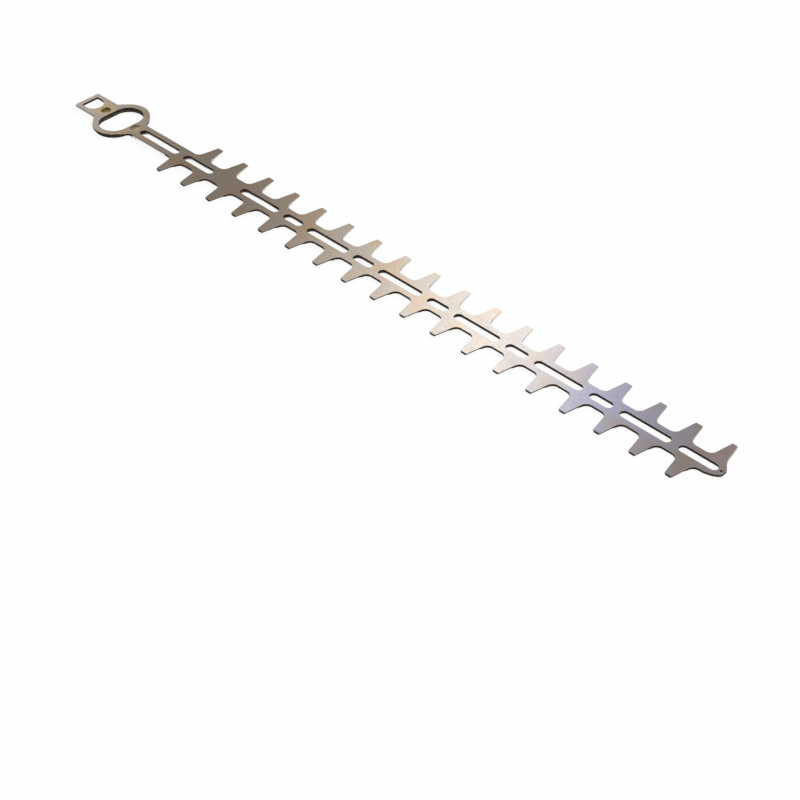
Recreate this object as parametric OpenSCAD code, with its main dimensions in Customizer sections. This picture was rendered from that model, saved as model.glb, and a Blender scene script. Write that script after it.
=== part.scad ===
// Cutting blade of a hedge trimmer: one long flat steel plate with teeth along both edges,
// and a second, smaller plate that is spot welded under its drive eye.
// X runs along the blade from the middle of the drive eye to the nose, and Y across it.
// Z = 0 is the underside of the welded plate.

/* [Blade plate] */
// Thickness of the sheet steel
plate_t = 2; // [1.5:0.1:3]
// Width of the spine between the teeth, and of the neck
spine_w = 16.8; // [15:0.1:22]

/* [Teeth] */
// Number of teeth along each edge
tooth_count = 18; // [6:1:24]
// Distance from one tooth to the next
tooth_pitch = 30; // [26:0.5:36]
// Distance from the centre line to the tips
tooth_reach = 27; // [22:0.5:32]
// Width of a tooth's flat tip
tip_w = 5.9; // [4.5:0.1:8]
// Lean of each flank away from straight across, in degrees
flank_lean = 11; // [6:0.5:14]
// Radius of the tip's corners
tip_r = 0.6; // [0.2:0.1:1]
// Radius between a flank and the spine
root_r = 5.4; // [3:0.1:6]
// Middle of the drive eye to the middle of the first tooth on the +Y edge
first_tooth_x = 93.3; // [90:0.1:110]
// How far the outer flank of the last tooth is set in, on each edge
end_tooth_inset = 1.5; // [0:0.1:2]

/* [Ground cutting edges] */
// Height of the upright band left under the top face
edge_land = 0.9; // [0.4:0.1:1.2]
// Angle between the ground face and the upright, in degrees
edge_angle = 45; // [30:1:55]
// Straight flank left unground before the root's radius
edge_stop = 0.5; // [0.2:0.1:3]
// Length over which the ground face runs out before it
edge_run_out = 4; // [1:0.5:6]

/* [Slots] */
// Width of every slot on the centre line
slot_w = 7; // [5:0.1:8]
// End to end length of the short slots that run on the guide screws
guide_slot_len = 19.2; // [16:0.1:24]
// Distance from one guide slot to the next
guide_spacing = 76; // [70:0.5:84]
// Middle of the drive eye to the middle of the first guide slot
first_guide_x = 206.5; // [200:0.5:215]
// Web between two slots that follow each other
slot_web = 7.25; // [5:0.05:9]
// End to end length of the slot in the neck
neck_slot_len = 46.5; // [38:0.5:48]
// Web between the drive ring's round edge and the slot in the neck
neck_slot_gap = 2.6; // [2:0.1:5]

/* [Drive end] */
// Width of the drive eye along the blade
eye_w = 26.7; // [24:0.1:28]
// Length of the drive eye across the blade
eye_len = 40.2; // [36:0.1:42]
// Width of the ring's wall at the ends of the eye
eye_wall = 5.1; // [4:0.1:6]
// Radius of the ring's round sides
ring_r = 23.2; // [22:0.1:24]
// Radius between the ring and the neck
neck_r = 8; // [5:0.5:10]
// Web between the drive eye and the tab's window, which takes a weld
weld_web = 13.85; // [12:0.05:17]
// Web between the window and the end of the tab
tab_end_web = 4; // [3:0.1:7]
// Width of the tab
tab_w = 24.8; // [22:0.1:28]
// Radius of the tab's corners
tab_r = 1.5; // [0.5:0.1:3]
// Radius of the round side of the tab's window
window_r = 8.3; // [7:0.1:9.5]
// Middle of that round side to the window's straight side
window_flat = 5.8; // [4:0.1:8]
// Radius of the window's corners
window_corner_r = 0.8; // [0.4:0.1:1.2]

/* [Nose] */
// Middle of the last +Y tooth to the front of the nose
nose_len = 10.2; // [9:0.1:12]
// Front of the nose back to where its lower side leaves the spine's edge
nose_curve_len = 11; // [9:0.1:13]
// Front of the nose back to the steepest part of its lower side
nose_chin_back = 4.8; // [4:0.1:6]
// Depth of that part below the centre line
nose_chin_y = 6.6; // [6:0.1:7.2]
// Radius of the lower side
nose_curve_r = 12; // [8:0.5:14]
// Where the front ends below the centre line
nose_low_y = 3.4; // [2.6:0.1:4]
// Radius of the front's lower corner
nose_low_r = 4; // [2:0.1:4.5]
// Where the front ends above the centre line
nose_high_y = 2.6; // [2:0.1:3.4]
// Radius of the front's upper corner
nose_high_r = 2.4; // [1.5:0.1:3]
// Height above the spine's edge of the bend between the nose and the last tooth
nose_knee_up = 2.2; // [1.5:0.1:3]
// Radius of that bend
nose_knee_r = 14; // [8:0.5:16]
// Radius of the last tooth's outer tip
nose_tip_r = 1.4; // [0.8:0.1:2]
// Web between the last slot and the front of the nose
nose_web = 5.1; // [4.6:0.1:7]
// Diameter of the small hole in the nose
nose_hole_d = 2; // [1:0.1:2.2]
// Front of the nose to the middle of the small hole
nose_hole_back = 2.4; // [2.2:0.1:2.6]

/* [Eye doubler] */
// Thickness of the welded plate
doubler_t = 2.5; // [1.5:0.1:4]
// Width of the welded plate's wall around the eye
doubler_wall = 3.6; // [2.5:0.1:4]
// Width of the ear under each weld
ear_w = 12.4; // [11:0.1:13]
// Gap between an ear's end and the window or the slot that follows it
ear_gap = 1; // [0.5:0.1:2]
// Radius of the ear's corners
ear_end_r = 2.2; // [1:0.1:3]
// Radius between the ear and the round wall
ear_flare_r = 6; // [3:0.5:7]

/* [Welds] */
// Edge of the drive eye to the middle of the weld on the tab
tab_weld_in = 6.65; // [5.5:0.05:8]
// Edge of the drive eye to the middle of the weld on the neck
neck_weld_in = 5.05; // [4.5:0.05:6.5]
// Diameter of the dent that each weld leaves in the top face
weld_d = 8.4; // [6:0.1:9]
// Depth of the dent on the tab
tab_weld_depth = 0.5; // [0.2:0.05:0.8]
// Depth of the dent on the neck
neck_weld_depth = 0.25; // [0.1:0.05:0.5]

/* [Hidden] */
$fn = 64;

steel = "#8d857c";
dark_steel = "#6f6862";

// Spare length that a cutting shape has beyond the surface that it cuts
spare = 1;
corner_steps = 8;
// A flare's outline starts this far inside the round edge, and this far back along it
flare_sink = 0.7;
flare_back = 2;
spine_y = spine_w / 2;
half_tip = tip_w / 2;
half_root = half_tip + (tooth_reach - spine_y) * tan(flank_lean);
first_lower_x = first_tooth_x - tooth_pitch / 2;
last_upper_x = first_tooth_x + (tooth_count - 1) * tooth_pitch;
nose_x = last_upper_x + nose_len;
eye_end_y = (eye_len - eye_w) / 2;

// The tab's window and the slot in the neck follow the eye, and the welds lie between them
window_start = eye_w / 2 + weld_web;
window_x = window_start + window_r;
tab_len = window_x + window_flat + tab_end_web;
neck_slot_x = ring_r + neck_slot_gap;
tab_weld_x = eye_w / 2 + tab_weld_in;
neck_weld_x = eye_w / 2 + neck_weld_in;

// Each long slot fills the space between two guide slots
guide_half = guide_slot_len / 2;
end_slot_stop = nose_x - nose_web;
guide_room = end_slot_stop - first_guide_x + guide_half - 2 * slot_w;
guide_count = floor(guide_room / guide_spacing);

function unit(v) = v / norm(v);

function arc(centre, r, from, turn) = [
  for (k = [0 : corner_steps])
    let (angle = from + turn * k / corner_steps)
      centre + r * [cos(angle), sin(angle)]
];

// The corner at q, between its neighbours p and s, rounded to radius r
function round_corner(p, q, s, r) =
  let (
    back = unit(p - q),
    ahead = unit(s - q),
    half = acos(back * ahead) / 2,
    centre = q + unit(back + ahead) * r / sin(half),
    start = q + back * r / tan(half) - centre,
    stop = q + ahead * r / tan(half) - centre,
    from = atan2(start.y, start.x),
    turn = (atan2(stop.y, stop.x) - from + 540) % 360 - 180
  )
  arc(centre, r, from, turn);

// An outline given as corners [x, y, radius]
function rounded(corners) = [
  for (i = [0 : len(corners) - 1])
    let (
      n = len(corners),
      before = corners[(i + n - 1) % n],
      here = corners[i],
      after = corners[(i + 1) % n],
      q = [here.x, here.y]
    )
    each here.z == 0
      ? [q]
      : round_corner([before.x, before.y], q, [after.x, after.y], here.z)
];

// The four corners of a tooth, from its -X side to its +X side
function tooth(x, side, inset_low = 0, inset_high = 0) = [
  [x - half_root + inset_low, side * spine_y, root_r],
  [x - half_tip + inset_low, side * tooth_reach, tip_r],
  [x + half_tip - inset_high, side * tooth_reach, tip_r],
  [x + half_root - inset_high, side * spine_y, root_r]
];

function lower_tooth(i) = tooth(first_lower_x + i * tooth_pitch, -1, i == 0 ? end_tooth_inset : 0);

// The outline runs back along the +Y edge, so those teeth take their corners in reverse
function upper_tooth(i) =
  let (corners = tooth(first_tooth_x + i * tooth_pitch, 1))
  [for (k = [3 : -1 : 0]) corners[k]];

// The nose is round below, and above it slopes up into the last tooth of the +Y edge
nose_corners =
  let (
    last = tooth(last_upper_x, 1, 0, end_tooth_inset),
    tip = last[2],
    knee_y = spine_y + nose_knee_up,
    knee_x = tip.x + (tooth_reach - knee_y) * tan(flank_lean)
  )
  [
    [nose_x - nose_curve_len, -spine_y, nose_curve_r],
    [nose_x - nose_chin_back, -nose_chin_y, nose_curve_r],
    [nose_x, -nose_low_y, nose_low_r],
    [nose_x, nose_high_y, nose_high_r],
    [knee_x, knee_y, nose_knee_r],
    [tip.x, tip.y, nose_tip_r],
    last[1],
    last[0]
  ];

// The two points of a flare, from a round edge of radius r around [0, centre_y] down to a
// straight edge at y: one inside the round edge, and the corner that takes the flare's radius
function flare(r, centre_y, y, flare_r) =
  let (
    rise = y + flare_r - centre_y,
    centre = [sqrt(pow(r + flare_r, 2) - rise * rise), rise],
    way = unit([centre.y, -centre.x]),
    touch = unit(centre) * r,
    inside = unit(centre) * (r - flare_sink) - way * flare_back,
    corner = touch + way * (y - centre_y - touch.y) / way.y
  )
  [
    [inside.x, inside.y + centre_y, 0],
    [corner.x, corner.y + centre_y, flare_r]
  ];

neck_flare = flare(ring_r, 0, spine_y, neck_r);
ear_flare = flare(eye_w / 2 + doubler_wall, eye_end_y, ear_w / 2, ear_flare_r);

function mirrored(point) = [point.x, -point.y, point.z];

module toothed_outline() {
  polygon(rounded([
    [0, 0, 0],
    mirrored(neck_flare[0]),
    mirrored(neck_flare[1]),
    for (i = [0 : tooth_count - 1]) each lower_tooth(i),
    each nose_corners,
    for (i = [tooth_count - 2 : -1 : 0]) each upper_tooth(i),
    neck_flare[1],
    neck_flare[0]
  ]));
}

// A slot with round ends, from x0 to x1 on the centre line
module slot(x0, x1, w) {
  r = w / 2;
  for (x = [x0 + r, x1 - r]) translate([x, 0]) circle(r);
  translate([x0 + r, -r]) square([x1 - x0 - w, w]);
}

// The drive eye and what follows its outline, wider by the given wall
module eye(wall) {
  r = eye_w / 2 + wall;
  for (side = [-1, 1]) translate([0, side * eye_end_y]) circle(r);
  translate([-r, -eye_end_y]) square([2 * r, 2 * eye_end_y]);
}

module tab_outline() {
  polygon(rounded([
    [0, tab_w / 2, 0],
    [-tab_len, tab_w / 2, tab_r],
    [-tab_len, -tab_w / 2, tab_r],
    [0, -tab_w / 2, 0]
  ]));
}

// The tab's window: round towards the eye and square towards the end
module window() {
  translate([-window_x, 0]) {
    intersection() {
      circle(window_r);
      translate([0, -window_r]) square([window_r, 2 * window_r]);
    }
    polygon(rounded([
      [0, window_r, 0],
      [-window_flat, window_r, window_corner_r],
      [-window_flat, -window_r, window_corner_r],
      [0, -window_r, 0]
    ]));
  }
}

module slots() {
  neck_slot_end = neck_slot_x + neck_slot_len;
  long_half = (guide_spacing - guide_slot_len) / 2 - slot_web;
  middle = first_guide_x - guide_spacing / 2;
  slot(neck_slot_x, neck_slot_end, slot_w);
  slot(neck_slot_end + slot_web, middle - guide_spacing + long_half, slot_w);
  for (i = [0 : guide_count])
    translate([middle + i * guide_spacing, 0]) slot(-long_half, long_half, slot_w);
  for (i = [0 : guide_count - 1])
    translate([first_guide_x + i * guide_spacing, 0]) slot(-guide_half, guide_half, slot_w);
  slot(first_guide_x + guide_count * guide_spacing - guide_half, end_slot_stop, slot_w);
}

module plate_outline() {
  difference() {
    union() {
      toothed_outline();
      tab_outline();
      circle(ring_r);
      eye(eye_wall);
    }
    eye(0);
    window();
    slots();
    translate([nose_x - nose_hole_back, 0]) circle(nose_hole_d / 2);
  }
}

// What the grinder takes from under the +X flank of a tooth that stands at x = 0 on the +Y edge
module grind() {
  height = plate_t - edge_land;
  depth = height * tan(edge_angle);
  root_len = root_r * tan((90 - flank_lean) / 2);
  flank_len = (tooth_reach - spine_y) / cos(flank_lean) - root_len - edge_stop;
  over = 0.2;
  low = [-depth * (1 + over), -height * over];
  high = [depth * over, height * (1 + over)];
  stop = -flank_len - edge_run_out * over;
  rise = stop + edge_run_out * (1 + 2 * over);
  translate([half_tip, tooth_reach, 0])
    rotate(flank_lean)
      intersection() {
        // The ground face seen from the tip
        translate([0, spare, 0])
          rotate([90, 0, 0])
            linear_extrude(spare - stop)
              polygon([low, [high.x, low.y], high]);
        // Seen from the side, the wheel lifts out before the root
        translate([low.x - spare, 0, 0])
          rotate([90, 0, 90])
            linear_extrude(high.x - low.x + 2 * spare)
              polygon([
                [stop, low.y],
                [2 * spare, low.y],
                [2 * spare, high.y],
                [rise, high.y]
              ]);
      }
}

// Both flanks of every tooth are ground, but the outer flank of each end tooth isn't
module ground_edges() {
  for (i = [0 : tooth_count - 1], flank = [0, 1]) {
    if (i < tooth_count - 1 || flank == 1)
      translate([first_tooth_x + i * tooth_pitch, 0, 0]) mirror([flank, 0, 0]) grind();
    if (i > 0 || flank == 0)
      translate([first_lower_x + i * tooth_pitch, 0, 0])
        mirror([0, 1, 0]) mirror([flank, 0, 0]) grind();
  }
}

// The dent that a welding electrode leaves in a face at z = 0: a ball whose poles lie sideways
module weld_dent(depth) {
  ball_r = (pow(weld_d / 2, 2) + depth * depth) / (2 * depth);
  translate([0, 0, ball_r - depth]) rotate([90, 0, 0]) sphere(ball_r);
}

module blade_plate() {
  color(steel)
    translate([0, 0, doubler_t])
      difference() {
        linear_extrude(plate_t) plate_outline();
        ground_edges();
        translate([-tab_weld_x, 0, plate_t]) weld_dent(tab_weld_depth);
        translate([neck_weld_x, 0, plate_t]) weld_dent(neck_weld_depth);
      }
}

// The ear that runs out under a weld and ends at stop
module ear(stop) {
  polygon(rounded([
    [0, 0, 0],
    mirrored(ear_flare[0]),
    mirrored(ear_flare[1]),
    [stop, -ear_w / 2, ear_end_r],
    [stop, ear_w / 2, ear_end_r],
    ear_flare[1],
    ear_flare[0]
  ]));
}

module eye_doubler() {
  color(dark_steel)
    linear_extrude(doubler_t)
      difference() {
        union() {
          eye(doubler_wall);
          ear(neck_slot_x - ear_gap);
          rotate(180) ear(window_start - ear_gap);
        }
        eye(0);
      }
}

blade_plate();
eye_doubler();
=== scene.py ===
"""A hedge trimmer's cutting blade, lying on a white table under soft light."""

import math

import bpy
from mathutils import Euler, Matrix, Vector


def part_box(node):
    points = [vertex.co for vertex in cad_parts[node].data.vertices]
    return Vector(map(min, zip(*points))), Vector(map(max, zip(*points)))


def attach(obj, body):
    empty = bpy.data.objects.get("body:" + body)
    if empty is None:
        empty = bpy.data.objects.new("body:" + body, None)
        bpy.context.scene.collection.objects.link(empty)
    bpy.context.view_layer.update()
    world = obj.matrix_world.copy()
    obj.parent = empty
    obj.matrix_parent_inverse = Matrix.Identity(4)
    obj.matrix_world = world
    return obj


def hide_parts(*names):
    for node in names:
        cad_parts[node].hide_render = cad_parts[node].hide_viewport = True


MM = 0.001
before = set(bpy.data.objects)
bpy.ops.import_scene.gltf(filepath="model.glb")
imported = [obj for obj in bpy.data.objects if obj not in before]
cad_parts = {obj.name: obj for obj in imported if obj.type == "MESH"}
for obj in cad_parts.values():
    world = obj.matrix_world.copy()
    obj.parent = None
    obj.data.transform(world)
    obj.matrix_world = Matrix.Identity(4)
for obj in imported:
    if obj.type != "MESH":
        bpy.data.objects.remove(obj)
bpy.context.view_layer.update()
scene = bpy.context.scene
scene.view_settings.view_transform = "Standard"

# Camera
# A long lens stands off the nose end, 81 cm above the table, and looks back along the blade.
# Its place comes from the even spacing of the teeth and from the edges of the slots and tips.
CAMERA_PLACE = Vector((1.06056, -0.77338, 0.80758))
CAMERA_WAY = Vector((-0.52481, 0.54913, -0.65042))
CAMERA_ROLL = 0.472
LENS_PIXELS = 1819.3
IMAGE_PIXELS = 800
SENSOR_WIDTH = 36
NEAREST_SEEN = 10 * MM

camera_data = bpy.data.cameras.new("camera")
camera_data.sensor_width = SENSOR_WIDTH
camera_data.lens = SENSOR_WIDTH * LENS_PIXELS / IMAGE_PIXELS
camera_data.clip_start = NEAREST_SEEN
camera = bpy.data.objects.new("camera", camera_data)
camera.location = CAMERA_PLACE
camera.rotation_mode = "QUATERNION"
roll = Euler((0, 0, math.radians(CAMERA_ROLL))).to_quaternion()
camera.rotation_quaternion = CAMERA_WAY.to_track_quat("-Z", "Y") @ roll
scene.collection.objects.link(camera)
scene.camera = camera

# Toothed blade
# One sheet of spring steel, cut to shape with all its slots, hardened and tempered, then
# fine ground on its two faces. The flanks of the teeth are ground from below to cutting
# edges, and tumbling has eased the top edges. The upright flanks of the +Y teeth are drawn
# in bright ground steel instead of the dark scale: painted light, for the lamp behind the blade.
FACE_LEAN = 0.93
WALL_LEAN = 0.3
TRULY_FLAT = 0.99999
FLANK_LEAN = 0.9
TOOTH_START = 10.6 * MM
DRIVE_END = 60 * MM
EASED_EDGE = 0.1 * MM
EASING_STEPS = 2
MERGE_GAP = 0.005 * MM
FLAT_WITHIN = math.radians(0.3)
SMOOTH_WITHIN = math.radians(20)
FACE, FLANK, WALL = range(3)


def merged_copy(node, name):
    """A copy of the CAD node with its triangles joined into whole faces."""
    bpy.ops.object.select_all(action="DESELECT")
    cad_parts[node].select_set(True)
    bpy.context.view_layer.objects.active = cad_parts[node]
    bpy.ops.object.duplicate()
    piece = bpy.context.object
    piece.name = piece.data.name = name
    piece.data.materials.clear()
    bpy.ops.object.mode_set(mode="EDIT")
    bpy.ops.mesh.select_all(action="SELECT")
    bpy.ops.mesh.remove_doubles(threshold=MERGE_GAP)
    bpy.ops.mesh.dissolve_limited(angle_limit=FLAT_WITHIN)
    bpy.ops.object.mode_set(mode="OBJECT")
    bpy.ops.mesh.customdata_custom_splitnormals_clear()
    return piece


def edge_leans(piece):
    """Each edge of the piece, with how flat the steeper and the flatter of its two faces lie."""
    leans = {}
    for face in piece.data.polygons:
        for key in face.edge_keys:
            leans.setdefault(key, []).append(abs(face.normal.z))
    return [(edge, min(leans[edge.key]), max(leans[edge.key])) for edge in piece.data.edges]


def ease_edges(piece, height, width):
    """Bevels the edges between the flat face at that height and its walls, and smooths the curves."""
    bpy.ops.object.mode_set(mode="EDIT")
    bpy.ops.mesh.select_mode(type="EDGE")
    bpy.ops.mesh.select_all(action="DESELECT")
    bpy.ops.object.mode_set(mode="OBJECT")
    for edge, steeper, flatter in edge_leans(piece):
        outer = abs(piece.data.vertices[edge.vertices[0]].co.z - height) < width
        edge.select = outer and steeper < WALL_LEAN and flatter > FACE_LEAN
    bpy.ops.object.mode_set(mode="EDIT")
    bpy.ops.mesh.bevel(
        offset=width, offset_type="OFFSET", segments=EASING_STEPS, clamp_overlap=False, material=FACE)
    bpy.ops.object.mode_set(mode="OBJECT")
    bpy.ops.object.shade_smooth_by_angle(angle=SMOOTH_WITHIN)
    for edge, steeper, flatter in edge_leans(piece):
        if steeper < TRULY_FLAT < flatter:
            edge.use_edge_sharp = True


def new_material(piece, name):
    """The empty node tree of a new material, in the piece's next material slot."""
    material = bpy.data.materials.new(name)
    material.use_nodes = True
    material.node_tree.nodes.clear()
    piece.data.materials.append(material)
    return material.node_tree


blade = merged_copy("blade_plate", "toothed_blade")
ground_face = new_material(blade, "fine_ground_spring_steel")
ground_and_lit_flank = new_material(blade, "wheel_ground_and_painted_lit_flank")
cut_wall = new_material(blade, "scaled_cut_wall")
for face in blade.data.polygons:
    lean = abs(face.normal.z)
    # The upright flanks of the +Y teeth get the bright ground steel as painted light, for the lamp
    # behind the blade; those of the -Y teeth keep the dark scale.
    painted_lit_flank = face.center.y > TOOTH_START and abs(face.normal.x) > FLANK_LEAN
    if lean > FACE_LEAN:
        face.material_index = FACE
    elif lean > WALL_LEAN or painted_lit_flank and face.center.x > DRIVE_END:
        face.material_index = FLANK
    else:
        face.material_index = WALL
ease_edges(blade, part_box("blade_plate")[1][2], EASED_EDGE)
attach(blade, "root")
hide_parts("blade_plate")


def linear(hex_colour):
    """The linear colour of an sRGB hex value, with its alpha."""
    channels = [int(hex_colour[i:i + 2], 16) / 255 for i in (1, 3, 5)]
    return tuple(c / 12.92 if c <= 0.04045 else ((c + 0.055) / 1.055) ** 2.4 for c in channels) + (1,)


def add_node(tree, kind, inputs=(), stops=(), **settings):
    """A new node with its settings, and with its (place, hex colour) stops if it is a ramp.
    Its inputs are named, or given in order. Each is a value, or a node or socket to link."""
    node = tree.nodes.new(kind)
    for name, value in settings.items():
        setattr(node, name, value)
    for number, (place, colour) in enumerate(stops):
        elements = node.color_ramp.elements
        element = elements[number] if number < 2 else elements.new(place)
        element.position = place
        element.color = linear(colour)
    sockets = [socket for socket in node.inputs if socket.enabled]
    if isinstance(inputs, dict):
        sockets = [next(socket for socket in sockets if socket.name == name) for name in inputs]
        inputs = inputs.values()
    for socket, value in zip(sockets, inputs):
        if isinstance(value, bpy.types.Node):
            value = next(output for output in value.outputs if output.enabled)
        if isinstance(value, bpy.types.NodeSocket):
            tree.links.new(value, socket)
        else:
            socket.default_value = value
    return node


# The faces: hardened and tempered spring steel, fine ground along the blade. That gives a
# satin mirror with faint lines, and tempering leaves straw and rose clouds in it. A grinding
# line is about 0.1 mm wide and is drawn wider, to show.
GRIND_LINE = 0.45 * MM
LINE_STRETCH = (0.03, 1, 1)
LINE_DETAIL = 3.0
MOTTLE = 2.2 * MM
MOTTLE_DETAIL = 3.0
MOTTLE_SHARE = 0.5
CLOUD_SHARE = 0.3
STEEL_SHADES = ((0.4, "#bdb8b3"), (0.6, "#cfcac4"))
STRAW_CLOUD = 26 * MM
STRAW_DETAIL = 5.0
STRAW_TINT = "#c8ab6c"
STRAW_RANGE = (0.48, 0.66)
STRAW_DEPTH = 0.34
ROSE_CLOUD = 17 * MM
ROSE_DETAIL = 4.0
ROSE_TINT = "#d2aa9c"
ROSE_RANGE = (0.5, 0.66)
ROSE_DEPTH = 0.24
tree = ground_face
place = add_node(tree, "ShaderNodeTexCoord").outputs["Object"]
along = add_node(tree, "ShaderNodeMapping", {"Vector": place, "Scale": LINE_STRETCH})
lines = add_node(tree, "ShaderNodeTexNoise", {
    "Vector": along, "Scale": 1 / GRIND_LINE, "Detail": LINE_DETAIL})
mottle = add_node(tree, "ShaderNodeTexNoise", {
    "Vector": place, "Scale": 1 / MOTTLE, "Detail": MOTTLE_DETAIL})
straw_clouds = add_node(tree, "ShaderNodeTexNoise", {
    "Vector": place, "Scale": 1 / STRAW_CLOUD, "Detail": STRAW_DETAIL})
rose_clouds = add_node(tree, "ShaderNodeTexNoise", {
    "Vector": place, "Scale": 1 / ROSE_CLOUD, "Detail": ROSE_DETAIL})
grain = add_node(tree, "ShaderNodeMix", [MOTTLE_SHARE, lines, mottle])
shade = add_node(tree, "ShaderNodeMix", [CLOUD_SHARE, grain, straw_clouds])
steel = add_node(tree, "ShaderNodeValToRGB", [shade], stops=STEEL_SHADES)
straw = add_node(tree, "ShaderNodeMapRange", {
    "Value": straw_clouds, "From Min": STRAW_RANGE[0], "From Max": STRAW_RANGE[1],
    "To Max": STRAW_DEPTH}, interpolation_type="SMOOTHSTEP")
steel = add_node(tree, "ShaderNodeMix", [straw, steel, linear(STRAW_TINT)], data_type="RGBA")
rose = add_node(tree, "ShaderNodeMapRange", {
    "Value": rose_clouds, "From Min": ROSE_RANGE[0], "From Max": ROSE_RANGE[1],
    "To Max": ROSE_DEPTH}, interpolation_type="SMOOTHSTEP")
steel = add_node(tree, "ShaderNodeMix", [rose, steel, linear(ROSE_TINT)], data_type="RGBA")

# A spot weld's heat leaves a straw halo and an olive mark. Along the mark's far rim a dark
# brown is painted shade, for the shadow in the weld's dent. Each weld is given by its place
# along the blade, and by how strong its colours are. Each colour is given by how far from
# the weld it starts and where it is full.
WELDS = ((-20.0 * MM, 1.0), (18.4 * MM, 0.45))
WELD_TOP = 4.5 * MM
RAGGED_BY = 1.4 * MM
HALO = (12.5 * MM, 4.4 * MM)
HALO_DEPTH = 0.7
MARK = (5.7 * MM, 4.0 * MM)
RIM = (2.8 * MM, 4.8 * MM)
RIM_SHIFT = (0.3 * MM, -1.4 * MM)
WELD_STRAW = "#e2c796"
WELD_OLIVE = "#7c6537"
WELD_RIM_SHADE = "#35230c"
for middle, strength in WELDS:
    away = add_node(tree, "ShaderNodeVectorMath", [place, (middle, 0, WELD_TOP)], operation="DISTANCE")
    ragged = add_node(tree, "ShaderNodeMath", [
        mottle, RAGGED_BY, away.outputs["Value"]], operation="MULTIPLY_ADD")
    halo = add_node(tree, "ShaderNodeMapRange", {
        "Value": ragged, "From Min": HALO[0], "From Max": HALO[1],
        "To Max": HALO_DEPTH * strength}, interpolation_type="SMOOTHSTEP")
    steel = add_node(tree, "ShaderNodeMix", [halo, steel, linear(WELD_STRAW)], data_type="RGBA")
    mark = add_node(tree, "ShaderNodeMapRange", {
        "Value": ragged, "From Min": MARK[0], "From Max": MARK[1],
        "To Max": strength}, interpolation_type="SMOOTHSTEP")
    steel = add_node(tree, "ShaderNodeMix", [mark, steel, linear(WELD_OLIVE)], data_type="RGBA")
    # The dark brown along the mark's far rim is painted shade, for the shadow in the weld's dent.
    inner = add_node(tree, "ShaderNodeVectorMath", [
        place, (middle + RIM_SHIFT[0], RIM_SHIFT[1], WELD_TOP)], operation="DISTANCE")
    rim = add_node(tree, "ShaderNodeMapRange", {
        "Value": inner.outputs["Value"], "From Min": RIM[0],
        "From Max": RIM[1]}, interpolation_type="SMOOTHSTEP")
    painted_rim_shade = add_node(tree, "ShaderNodeMath", [rim, mark], operation="MULTIPLY")
    steel = add_node(tree, "ShaderNodeMix", [painted_rim_shade, steel, linear(WELD_RIM_SHADE)], data_type="RGBA")

# The lighter the grain, the smoother it is
GRAIN_RANGE = (0.35, 0.65)
FACE_ROUGHNESS = (0.17, 0.12)
GRIND_RELIEF = 0.04
GRIND_DEPTH = 0.01 * MM
gloss = add_node(tree, "ShaderNodeMapRange", {
    "Value": shade, "From Min": GRAIN_RANGE[0], "From Max": GRAIN_RANGE[1],
    "To Min": FACE_ROUGHNESS[0], "To Max": FACE_ROUGHNESS[1]})
relief = add_node(tree, "ShaderNodeBump", {
    "Height": lines, "Strength": GRIND_RELIEF, "Distance": GRIND_DEPTH})
metal = add_node(tree, "ShaderNodeBsdfPrincipled", {
    "Base Color": steel, "Metallic": 1.0, "Roughness": gloss, "Normal": relief})
add_node(tree, "ShaderNodeOutputMaterial", [metal])

# The flanks: the same steel, ground by a coarser wheel across the edge, so bright and lined.
# On the upright flanks of the +Y teeth this brightness is painted light, for the lamp behind.
# A wheel mark is about 0.1 mm wide and is drawn wider, to show.
WHEEL_LINE = 0.3 * MM
WHEEL_STRETCH = (1, 1, 0.05)
WHEEL_DETAIL = 3.0
WHEEL_RELIEF = 0.15
WHEEL_DEPTH = 0.02 * MM
FLANK_SHADES = ((0.35, "#a39d96"), (0.65, "#cdc8c1"))
FLANK_ROUGHNESS = 0.28
tree = ground_and_lit_flank
place = add_node(tree, "ShaderNodeTexCoord").outputs["Object"]
across = add_node(tree, "ShaderNodeMapping", {"Vector": place, "Scale": WHEEL_STRETCH})
lines = add_node(tree, "ShaderNodeTexNoise", {
    "Vector": across, "Scale": 1 / WHEEL_LINE, "Detail": WHEEL_DETAIL})
steel = add_node(tree, "ShaderNodeValToRGB", [lines], stops=FLANK_SHADES)
relief = add_node(tree, "ShaderNodeBump", {
    "Height": lines, "Strength": WHEEL_RELIEF, "Distance": WHEEL_DEPTH})
metal = add_node(tree, "ShaderNodeBsdfPrincipled", {
    "Base Color": steel, "Metallic": 1.0, "Roughness": FLANK_ROUGHNESS, "Normal": relief})
add_node(tree, "ShaderNodeOutputMaterial", [metal])

# The cut walls: scale from hardening, dark brown and dull, with the marks of cutting running
# through the thickness, and worn thin in places.
CUT_MARK = 0.8 * MM
CUT_STRETCH = (1, 1, 0.1)
CUT_DETAIL = 2.0
CUT_RELIEF = 0.3
CUT_DEPTH = 0.05 * MM
SCALE_SHADES = ((0.35, "#2f241d"), (0.7, "#43362f"))
SCALE_PATCH = 2.2 * MM
PATCH_DETAIL = 4.0
WORN_RANGE = (0.58, 0.8)
SCALE_WORN = "#584c46"
SCALE_ROUGHNESS = 0.8
SCALE_SHEEN = 0.05
tree = cut_wall
place = add_node(tree, "ShaderNodeTexCoord").outputs["Object"]
upright = add_node(tree, "ShaderNodeMapping", {"Vector": place, "Scale": CUT_STRETCH})
marks = add_node(tree, "ShaderNodeTexNoise", {
    "Vector": upright, "Scale": 1 / CUT_MARK, "Detail": CUT_DETAIL})
scale = add_node(tree, "ShaderNodeValToRGB", [marks], stops=SCALE_SHADES)
wear = add_node(tree, "ShaderNodeTexNoise", {
    "Vector": place, "Scale": 1 / SCALE_PATCH, "Detail": PATCH_DETAIL})
worn = add_node(tree, "ShaderNodeMapRange", {
    "Value": wear, "From Min": WORN_RANGE[0],
    "From Max": WORN_RANGE[1]}, interpolation_type="SMOOTHSTEP")
scale = add_node(tree, "ShaderNodeMix", [worn, scale, linear(SCALE_WORN)], data_type="RGBA")
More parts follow.
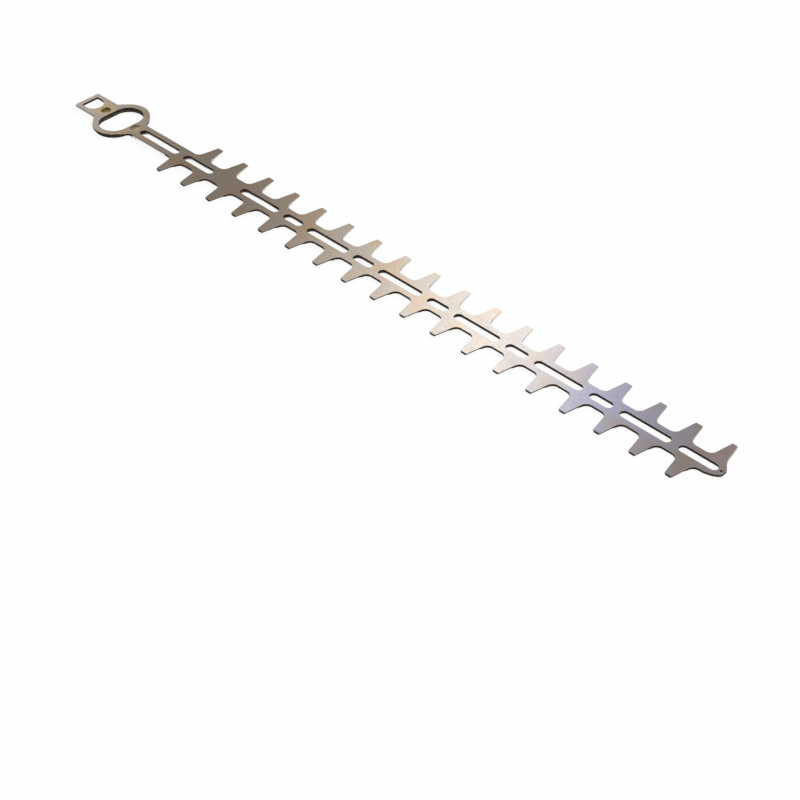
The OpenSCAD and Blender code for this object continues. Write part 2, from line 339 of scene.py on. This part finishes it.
relief = add_node(tree, "ShaderNodeBump", {
    "Height": marks, "Strength": CUT_RELIEF, "Distance": CUT_DEPTH})
skin = add_node(tree, "ShaderNodeBsdfPrincipled", {
    "Base Color": scale, "Roughness": SCALE_ROUGHNESS, "Specular IOR Level": SCALE_SHEEN,
    "Normal": relief})

# On the outer walls of the tab and the neck the lower half is bare steel, and mirrors the
# paper. Each of the two is given by where it starts and ends along the blade, and by a
# distance from the middle that only its outer walls are past.
BARE_WALLS = ((-46 * MM, -21 * MM, 10 * MM), (25 * MM, 65 * MM, 7 * MM))
BARE_EDGE = (3.7 * MM, 3.2 * MM)
BARE_STEEL = "#e8e6e2"
BARE_ROUGHNESS = 0.3
spot = add_node(tree, "ShaderNodeSeparateXYZ", [place])
sideways = add_node(tree, "ShaderNodeMath", [spot.outputs["Y"]], operation="ABSOLUTE")
outside = 0.0
for start, end, out in BARE_WALLS:
    past = add_node(tree, "ShaderNodeMath", [spot.outputs["X"], start], operation="GREATER_THAN")
    short = add_node(tree, "ShaderNodeMath", [spot.outputs["X"], end], operation="LESS_THAN")
    far_out = add_node(tree, "ShaderNodeMath", [sideways, out], operation="GREATER_THAN")
    within = add_node(tree, "ShaderNodeMath", [past, short], operation="MULTIPLY")
    outside = add_node(tree, "ShaderNodeMath", [within, far_out, outside], operation="MULTIPLY_ADD")
low = add_node(tree, "ShaderNodeMapRange", {
    "Value": spot.outputs["Z"], "From Min": BARE_EDGE[0],
    "From Max": BARE_EDGE[1]}, interpolation_type="SMOOTHSTEP")
bare = add_node(tree, "ShaderNodeMath", [low, outside], operation="MULTIPLY")
steel = add_node(tree, "ShaderNodeBsdfPrincipled", {
    "Base Color": linear(BARE_STEEL), "Metallic": 1.0, "Roughness": BARE_ROUGHNESS})
wall = add_node(tree, "ShaderNodeMixShader", [bare, skin, steel])
add_node(tree, "ShaderNodeOutputMaterial", [wall])

# Eye doubler
# A thicker piece of hot rolled steel, spot welded under the ring so that the drive cam bears
# on a taller wall. It keeps its dark, pitted rolling skin all over.
DOUBLER_EDGE = 0.2 * MM
SKIN_SHADES = ((0.35, "#332a24"), (0.7, "#564c44"))
SKIN_PATCH = 3 * MM
SKIN_DETAIL = 5.0
SKIN_PIT = 0.6 * MM
PIT_DETAIL = 4.0
PIT_RELIEF = 0.2
PIT_DEPTH = 0.03 * MM
SKIN_ROUGHNESS = 0.7
SKIN_SHEEN = 0.1
doubler = merged_copy("eye_doubler", "welded_eye_doubler")
tree = new_material(doubler, "hot_rolled_steel")
ease_edges(doubler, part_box("eye_doubler")[0][2], DOUBLER_EDGE)
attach(doubler, "root")
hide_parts("eye_doubler")

place = add_node(tree, "ShaderNodeTexCoord").outputs["Object"]
patches = add_node(tree, "ShaderNodeTexNoise", {
    "Vector": place, "Scale": 1 / SKIN_PATCH, "Detail": SKIN_DETAIL})
colour = add_node(tree, "ShaderNodeValToRGB", [patches], stops=SKIN_SHADES)
pits = add_node(tree, "ShaderNodeTexNoise", {
    "Vector": place, "Scale": 1 / SKIN_PIT, "Detail": PIT_DETAIL})
relief = add_node(tree, "ShaderNodeBump", {
    "Height": pits, "Strength": PIT_RELIEF, "Distance": PIT_DEPTH})
rolled = add_node(tree, "ShaderNodeBsdfPrincipled", {
    "Base Color": colour, "Roughness": SKIN_ROUGHNESS, "Specular IOR Level": SKIN_SHEEN,
    "Normal": relief})
add_node(tree, "ShaderNodeOutputMaterial", [rolled])

# Table
# A sheet of white paper, wide enough for its edges to stay out of every view. The blade rests
# on its doubler and its nose, so the paper rises towards the nose. It shows nearly white to
# the camera and in the steel, and keeps a part of the blade's shadow.
TABLE_SIZE = 6.0
TABLE_GAP = 0.02 * MM
TABLE_GLOW = 0.91
PAPER = linear("#f8f8f8")
WHITE = linear("#ffffff")
doubler_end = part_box("eye_doubler")[1][0]
nose_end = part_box("blade_plate")[1][0]
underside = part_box("blade_plate")[0][2]
tilt = math.atan(underside / (nose_end - doubler_end))
bpy.ops.object.select_all(action="DESELECT")
bpy.ops.mesh.primitive_plane_add(
    size=TABLE_SIZE, location=(doubler_end, 0, -TABLE_GAP), rotation=(0, -tilt, 0))
table = bpy.context.object
table.name = "table"
tree = new_material(table, "white_paper")
paper = add_node(tree, "ShaderNodeBsdfDiffuse", {"Color": PAPER})
lit_paper = add_node(tree, "ShaderNodeEmission", {"Color": WHITE})
rays = add_node(tree, "ShaderNodeLightPath")
seen = add_node(tree, "ShaderNodeMath", [
    rays.outputs["Is Camera Ray"], rays.outputs["Is Glossy Ray"]], operation="MAXIMUM")
share = add_node(tree, "ShaderNodeMath", [seen, TABLE_GLOW], operation="MULTIPLY")

# Under the drive end the slots let little light in below the blade, and the paper is dark
# there. The strip that they look down on is shaded by how little of the sky reaches it.
STRIP_EDGE = (8.0 * MM, 5.6 * MM)
SKY_REACH = 12 * MM
SKY_SAMPLES = 32
SKY_RANGE = (0.17, 0.28)
SHADOW = "#35291f"
place = add_node(tree, "ShaderNodeTexCoord").outputs["Object"]
spot = add_node(tree, "ShaderNodeSeparateXYZ", [place])
sideways = add_node(tree, "ShaderNodeMath", [spot.outputs["Y"]], operation="ABSOLUTE")
under = add_node(tree, "ShaderNodeMapRange", {
    "Value": sideways, "From Min": STRIP_EDGE[0],
    "From Max": STRIP_EDGE[1]}, interpolation_type="SMOOTHSTEP")
sky = add_node(tree, "ShaderNodeAmbientOcclusion", {"Distance": SKY_REACH}, samples=SKY_SAMPLES)
open_sky = add_node(tree, "ShaderNodeMapRange", {
    "Value": sky.outputs["AO"], "From Min": SKY_RANGE[0],
    "From Max": SKY_RANGE[1]}, interpolation_type="SMOOTHSTEP")
tone = add_node(tree, "ShaderNodeMix", [open_sky, linear(SHADOW), WHITE], data_type="RGBA")
shaded_paper = add_node(tree, "ShaderNodeEmission", {"Color": tone})
glow = add_node(tree, "ShaderNodeMixShader", [under, lit_paper, shaded_paper])
shown = add_node(tree, "ShaderNodeMixShader", [share, paper, glow])
add_node(tree, "ShaderNodeOutputMaterial", [shown])

# Room
# The steel mirrors a room that changes along the blade: dim and brown beside the drive end,
# a bright window beside the middle, a bluish wall and a dim one beside the nose. It is the
# same on both sides of the blade's middle plane. The camera itself sees white.
ROOM = (
    (0.0, "#a8a6a2"), (0.25, "#a6a39e"), (0.368, "#897d81"), (0.392, "#655e5c"), (0.414, "#8a8c9b"),
    (0.44, "#98a3cd"), (0.46, "#bcc4e8"), (0.49, "#fffdf6"), (0.535, "#efe9e2"), (0.575, "#b5aea3"),
    (0.62, "#6f6357"), (0.667, "#675f56"), (0.72, "#c4c1ba"))
ROOM_STRENGTH = 1.85
ROOM_LIGHT = 0.65
scene.world = bpy.data.worlds.new("room")
scene.world.use_nodes = True
tree = scene.world.node_tree
tree.nodes.clear()
way = add_node(tree, "ShaderNodeTexCoord").outputs["Generated"]
along = add_node(tree, "ShaderNodeSeparateXYZ", [way])
beside = add_node(tree, "ShaderNodeMath", [along], operation="ABSOLUTE")
mirrored = add_node(tree, "ShaderNodeValToRGB", [beside], stops=ROOM)
rays = add_node(tree, "ShaderNodeLightPath")
backdrop = add_node(tree, "ShaderNodeBackground", {"Color": WHITE})
light = add_node(tree, "ShaderNodeBackground", {"Color": WHITE, "Strength": ROOM_LIGHT})
room_walls = add_node(tree, "ShaderNodeBackground", {"Color": mirrored, "Strength": ROOM_STRENGTH})
lit = add_node(tree, "ShaderNodeMixShader", [rays.outputs["Is Glossy Ray"], light, room_walls])
shown = add_node(tree, "ShaderNodeMixShader", [rays.outputs["Is Camera Ray"], lit, backdrop])
add_node(tree, "ShaderNodeOutputWorld", [shown])

# A broad soft lamp hangs behind the blade.
LAMP_WAY = Vector((-0.15, -0.62, -0.77))
LAMP_SPREAD = math.radians(30)
LAMP_STRENGTH = 1.6
lamp_data = bpy.data.lights.new("soft_lamp", "SUN")
lamp_data.angle = LAMP_SPREAD
lamp_data.energy = LAMP_STRENGTH
lamp = bpy.data.objects.new("soft_lamp", lamp_data)
lamp.rotation_mode = "QUATERNION"
lamp.rotation_quaternion = LAMP_WAY.to_track_quat("-Z", "Y")
lamp.visible_camera = False
lamp.visible_glossy = False
scene.collection.objects.link(lamp)
